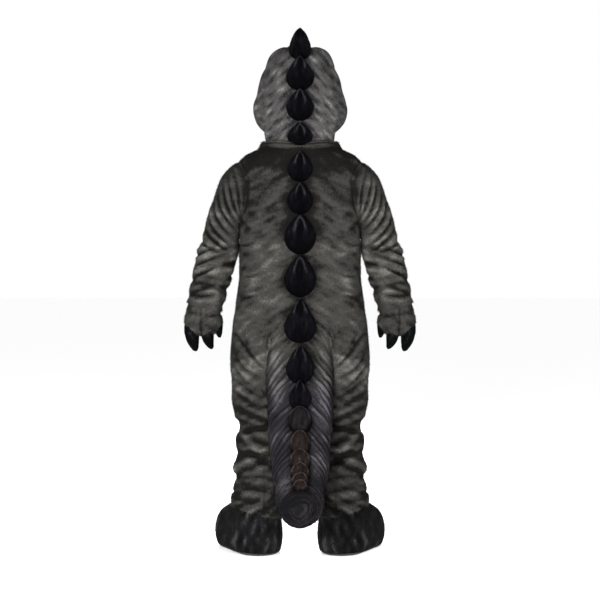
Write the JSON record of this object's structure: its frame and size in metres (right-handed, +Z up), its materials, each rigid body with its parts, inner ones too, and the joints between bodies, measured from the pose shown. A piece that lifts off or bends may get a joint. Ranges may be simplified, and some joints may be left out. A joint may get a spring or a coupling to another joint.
{
  "type": "raptor mascot costume",
  "caption": "Full-body plush raptor costume, worn and standing: foam head, one-piece suit, stuffed tail, clawed mitts, boots and a row of stuffed spikes down the back.",
  "frame": {"origin": "Midway between the shoulders, where the wearer carries the suit, 1440 mm above the soles", "axes": "+Z up, -Y the way the wearer faces, +X to the wearer's left"},
  "size_m": [0.844, 1.1262, 1.8866],
  "materials": {
    "body_plush": "worn short-pile plush, dark olive grey",
    "head_plush": "worn short-pile plush over foam, warm mottled grey",
    "tail_plush": "worn short-pile plush over stuffing, grey turning purple-grey",
    "boot_plush": "worn plush over foam, near black with purple-grey mottling",
    "spike_velvet": "blue-black velvet over stuffing",
    "scale_velvet": "dark brown velvet over stuffing",
    "claw_felt": "matte black felt over stuffing",
    "sole_foam": "matte black foam rubber",
    "eye_plastic": "glossy black dome"
  },
  "bodies": {
    "root": {"back_panel_left": "body_plush", "back_panel_right": "body_plush", "boot_left": "boot_plush", "boot_right": "boot_plush", "claw_1_left": "claw_felt", "claw_1_right": "claw_felt", "claw_2_left": "claw_felt", "claw_2_right": "claw_felt", "claw_3_left": "claw_felt", "claw_3_right": "claw_felt", "collar_left": "body_plush", "collar_right": "body_plush", "eye_left": "eye_plastic", "eye_right": "eye_plastic", "front_panel_left": "body_plush", "front_panel_right": "body_plush", "head": "head_plush", "mitt_left": "body_plush", "mitt_right": "body_plush", "sleeve_left": "body_plush", "sleeve_right": "body_plush", "sole_left": "sole_foam", "sole_right": "sole_foam", "spike_back_1": "spike_velvet", "spike_back_2": "spike_velvet", "spike_back_3": "spike_velvet", "spike_back_4": "spike_velvet", "spike_back_5": "spike_velvet", "spike_head_1": "spike_velvet", "spike_head_2": "spike_velvet", "spike_head_3": "spike_velvet", "spike_head_4": "spike_velvet", "spike_tail_1": "spike_velvet", "spike_tail_2": "spike_velvet", "spike_tail_3": "scale_velvet", "spike_tail_4": "scale_velvet", "spike_tail_5": "scale_velvet", "spike_tail_6": "scale_velvet", "spike_tail_7": "scale_velvet", "spike_tail_8": "scale_velvet", "tail": "tail_plush"}
  },
  "joints": []
}
